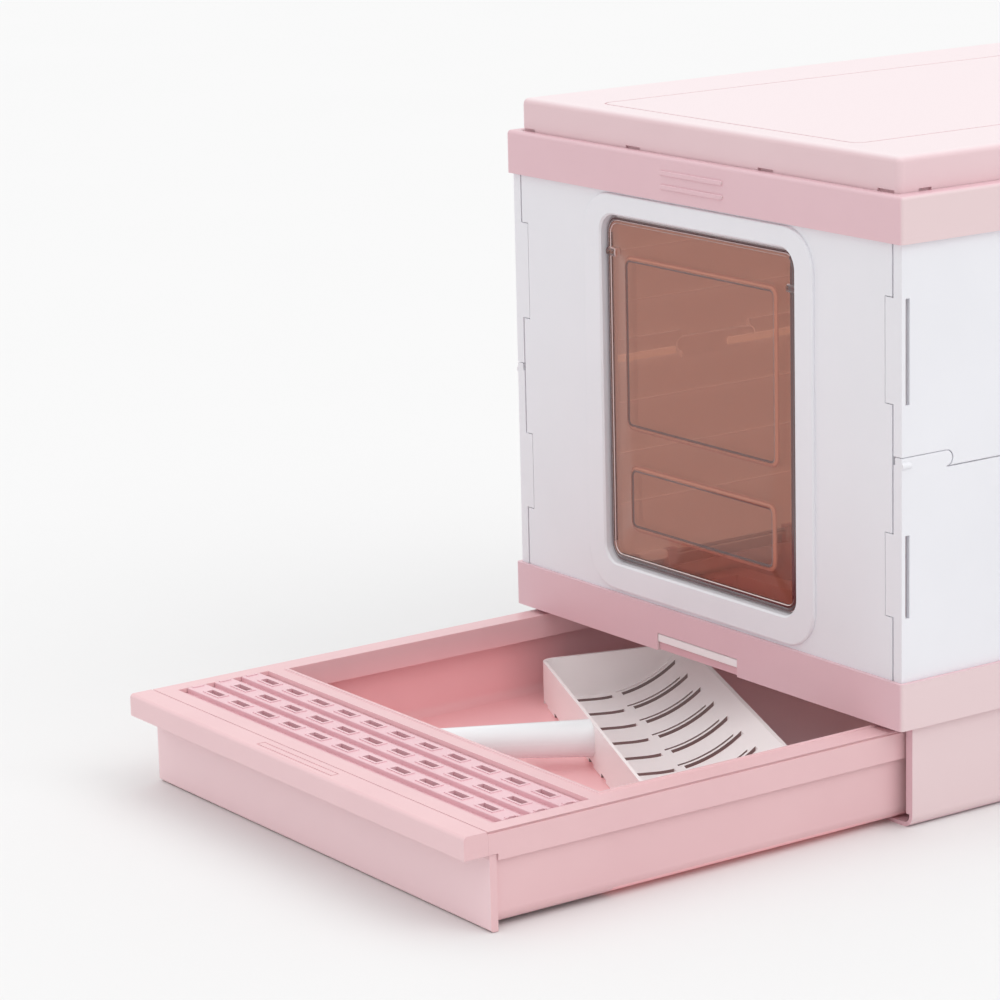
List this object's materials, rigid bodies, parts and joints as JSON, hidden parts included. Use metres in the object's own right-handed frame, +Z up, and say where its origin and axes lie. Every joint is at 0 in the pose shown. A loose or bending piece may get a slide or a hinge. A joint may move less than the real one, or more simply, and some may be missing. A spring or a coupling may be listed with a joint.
{
  "type": "foldable litter box",
  "caption": "Folding cat litter box in pink and white plastic with a tinted swing flap, hinged lid, pull-out tray, step grate and scoop.",
  "frame": {"origin": "centre of the tub's underside, on the floor", "axes": "+X to the right seen from the front, +Y to the rear, +Z up"},
  "size_m": [0.4, 0.814, 0.414],
  "materials": {
    "shell_pink": "satin moulded plastic",
    "lid_blush": "fine satin moulded plastic",
    "tray_pink": "satin moulded plastic",
    "grate_pink": "satin moulded plastic",
    "panel_white": "smooth satin plastic",
    "latch_white": "smooth plastic",
    "flap_tint": "clear brown tinted plastic, see-through",
    "scoop_grey": "satin plastic",
    "scoop_white": "satin plastic",
    "pin_steel": "plain drawn wire"
  },
  "bodies": {
    "cabinet": {"base_tub": "shell_pink", "lower_frame": "shell_pink", "upper_frame": "shell_pink", "right_lower_wall": "panel_white", "right_upper_wall": "panel_white", "left_lower_wall": "panel_white", "left_upper_wall": "panel_white", "right_middle_hinge_pin": "pin_steel", "left_middle_hinge_pin": "pin_steel", "right_lower_hinge_pin": "pin_steel", "left_lower_hinge_pin": "pin_steel", "right_upper_hinge_pin": "pin_steel", "left_upper_hinge_pin": "pin_steel", "front_hinge_pins": "pin_steel", "rear_hinge_pins": "pin_steel", "lid_hinge_pins": "pin_steel"},
    "front_door": {"front_panel": "panel_white", "flap_pins": "pin_steel"},
    "flap": {"cat_flap": "flap_tint"},
    "rear_door": {"rear_panel": "panel_white"},
    "latch_front": {"front_latch": "latch_white"},
    "latch_rear": {"rear_latch": "latch_white"},
    "lid_body": {"lid": "lid_blush"},
    "drawer": {"litter_tray": "tray_pink", "tray_rim": "tray_pink"},
    "grate": {"step_grate": "grate_pink"},
    "scoop": {"scoop_basket": "scoop_grey", "scoop_handle": "scoop_white"}
  },
  "joints": [
    {"name": "drawer_slide", "type": "slide", "parent": "cabinet", "child": "drawer", "axis": [0, -1, 0], "range_m": [-0.3035, 0.1]},
    {"name": "lid_hinge", "type": "hinge", "parent": "cabinet", "child": "lid_body", "pos_m": [0, 0.246, 0.3946], "axis": [-1, 0, 0], "range_deg": [0, 100]},
    {"name": "front_panel_swing", "type": "hinge", "parent": "cabinet", "child": "front_door", "pos_m": [0, -0.2405, 0.374], "axis": [1, 0, 0], "range_deg": [0, 90]},
    {"name": "rear_panel_swing", "type": "hinge", "parent": "cabinet", "child": "rear_door", "pos_m": [0, 0.2405, 0.374], "axis": [-1, 0, 0], "range_deg": [0, 84]},
    {"name": "flap_swing", "type": "hinge", "parent": "front_door", "child": "flap", "pos_m": [0, -0.2425, 0.3225], "axis": [-1, 0, 0], "range_deg": [-80, 80]},
    {"name": "front_latch_push", "type": "slide", "parent": "cabinet", "child": "latch_front", "axis": [0, 0, -1], "range_m": [0, 0.002], "stiffness_N_per_m": 300, "springref_m": -0.002},
    {"name": "rear_latch_push", "type": "slide", "parent": "cabinet", "child": "latch_rear", "axis": [0, 0, -1], "range_m": [0, 0.002], "stiffness_N_per_m": 300, "springref_m": -0.002},
    {"name": "grate_lift", "type": "slide", "parent": "drawer", "child": "grate", "axis": [0, 0, 1], "range_m": [0, 0.06]},
    {"name": "scoop_lift", "type": "slide", "parent": "drawer", "child": "scoop", "axis": [0, 0, 1], "range_m": [0, 0.022]}
  ]
}
